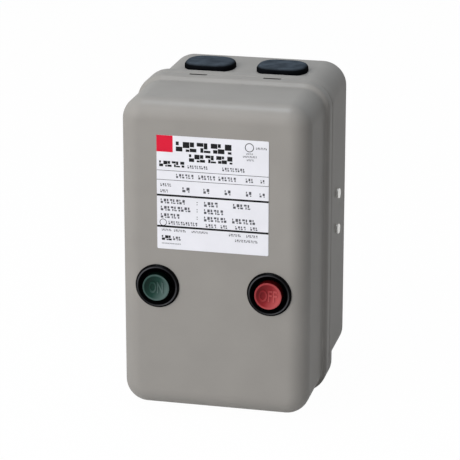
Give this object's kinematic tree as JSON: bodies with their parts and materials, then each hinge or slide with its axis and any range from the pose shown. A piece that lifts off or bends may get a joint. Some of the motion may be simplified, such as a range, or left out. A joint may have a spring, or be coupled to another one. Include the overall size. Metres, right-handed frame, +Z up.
{
  "type": "magnetic motor starter",
  "caption": "Sheet-metal enclosed direct-on-line motor starter with green ON and red OFF push buttons, a contactor and a thermal overload relay on a rail.",
  "frame": {"origin": "middle of the box's flat back, on the wall", "axes": "+X right, +Y into the wall, +Z up; the front faces -Y"},
  "size_m": [0.1304, 0.1411, 0.2178],
  "materials": {
    "box_paint": "satin light grey stoving enamel on pressed steel",
    "label": "satin white film with plain grey rules and bars",
    "bezel_plastic": "black moulded plastic",
    "on_cap": "dark green moulded plastic",
    "off_cap": "red moulded plastic",
    "rubber": "blue-black moulded rubber",
    "zinc_steel": "bright zinc-plated steel",
    "spring_steel": "drawn spring steel",
    "earth_brass": "turned brass",
    "black_plastic": "black moulded thermoset",
    "grey_plastic": "grey moulded plastic",
    "cream_plastic": "cream moulded plastic",
    "core_steel": "ground edges of stacked laminations",
    "copper": "bare copper",
    "enamelled_wire": "lacquered copper winding",
    "contact_brass": "brass strip with silvered contact tips",
    "blue_plastic": "blue moulded plastic",
    "red_plastic": "red moulded plastic",
    "white_plastic": "white moulded plastic"
  },
  "bodies": {
    "base": {"base_box": "box_paint", "cable_plugs": "rubber", "cover_clips": "spring_steel", "side_screws": "zinc_steel", "earth_stud": "earth_brass", "earth_nut": "earth_brass", "din_rail": "zinc_steel", "rail_rivets": "zinc_steel", "on_switch_bracket": "zinc_steel", "off_switch_bracket": "zinc_steel", "on_switch_housing": "grey_plastic", "off_switch_housing": "grey_plastic", "on_switch_spring": "spring_steel", "off_switch_spring": "spring_steel", "switch_contacts": "contact_brass", "switch_screws": "zinc_steel", "contactor_base": "cream_plastic", "contactor_body": "black_plastic", "arc_cover": "cream_plastic", "stationary_core": "core_steel", "shading_rings": "copper", "coil_bobbin": "black_plastic", "coil_winding": "enamelled_wire", "return_springs": "spring_steel", "line_contacts": "contact_brass", "load_contacts": "contact_brass", "coil_terminals": "contact_brass", "contactor_screws": "zinc_steel", "relay_housing": "black_plastic", "relay_cover": "cream_plastic", "relay_pins": "copper", "bimetal_heaters": "core_steel", "output_terminals": "contact_brass", "control_terminals": "contact_brass", "relay_screws": "zinc_steel"},
    "cover": {"front_cover": "box_paint", "data_plate": "label", "on_bezel": "bezel_plastic", "off_bezel": "bezel_plastic", "bezel_gaskets": "rubber", "bezel_nuts": "bezel_plastic", "on_button_spring": "spring_steel", "off_button_spring": "spring_steel"},
    "on_button": {"on_button": "on_cap"},
    "off_button": {"off_button": "off_cap"},
    "on_plunger": {"on_plunger": "white_plastic", "on_switch_bridge": "contact_brass"},
    "off_plunger": {"off_plunger": "white_plastic", "off_switch_bridge": "contact_brass"},
    "armature": {"moving_core": "core_steel", "contact_carrier": "black_plastic", "moving_contacts": "contact_brass", "contact_springs": "spring_steel"},
    "rail_clip": {"rail_clip": "black_plastic"},
    "trip_bar": {"trip_bar": "white_plastic"},
    "current_dial": {"current_dial": "blue_plastic"},
    "reset_button": {"reset_button": "blue_plastic"},
    "test_button": {"test_button": "red_plastic"}
  },
  "joints": [
    {"name": "cover_lift", "type": "slide", "parent": "base", "child": "cover", "axis": [0, -1, 0], "range_m": [0, 0.15]},
    {"name": "on_press", "type": "slide", "parent": "cover", "child": "on_button", "axis": [0, 1, 0], "range_m": [0, 0.004], "stiffness_N_per_m": 600, "springref_m": -0.002, "deforming": ["on_button_spring"]},
    {"name": "off_press", "type": "slide", "parent": "cover", "child": "off_button", "axis": [0, 1, 0], "range_m": [0, 0.004], "stiffness_N_per_m": 600, "springref_m": -0.002, "deforming": ["off_button_spring"]},
    {"name": "on_plunge", "type": "slide", "parent": "base", "child": "on_plunger", "axis": [0, 1, 0], "range_m": [0, 0.004], "stiffness_N_per_m": 300, "springref_m": -0.002, "deforming": ["on_switch_spring"]},
    {"name": "off_plunge", "type": "slide", "parent": "base", "child": "off_plunger", "axis": [0, 1, 0], "range_m": [0, 0.004], "stiffness_N_per_m": 300, "springref_m": -0.002, "deforming": ["off_switch_spring"]},
    {"name": "armature_pull", "type": "slide", "parent": "base", "child": "armature", "axis": [0, 1, 0], "range_m": [0, 0.0055], "stiffness_N_per_m": 900, "springref_m": -0.006, "deforming": ["return_springs"]},
    {"name": "rail_clip_pull", "type": "slide", "parent": "base", "child": "rail_clip", "axis": [0, 0, -1], "range_m": [0, 0.003], "stiffness_N_per_m": 2000, "springref_m": -0.002},
    {"name": "trip_bar_push", "type": "slide", "parent": "base", "child": "trip_bar", "axis": [1, 0, 0], "range_m": [0, 0.002], "stiffness_N_per_m": 200, "springref_m": -0.002},
    {"name": "current_dial_turn", "type": "hinge", "parent": "base", "child": "current_dial", "pos_m": [-0.01, -0.098, -0.016], "axis": [0, -1, 0], "range_deg": [-270, 0]},
    {"name": "reset_press", "type": "slide", "parent": "base", "child": "reset_button", "axis": [0, 1, 0], "range_m": [0, 0.0025], "stiffness_N_per_m": 400, "springref_m": -0.002},
    {"name": "test_press", "type": "slide", "parent": "base", "child": "test_button", "axis": [0, 1, 0], "range_m": [0, 0.0012], "stiffness_N_per_m": 400, "springref_m": -0.002}
  ],
  "couplings": [
    {"joint": "on_plunge", "follows": "on_press", "ratio": 1},
    {"joint": "off_plunge", "follows": "off_press", "ratio": 1}
  ]
}
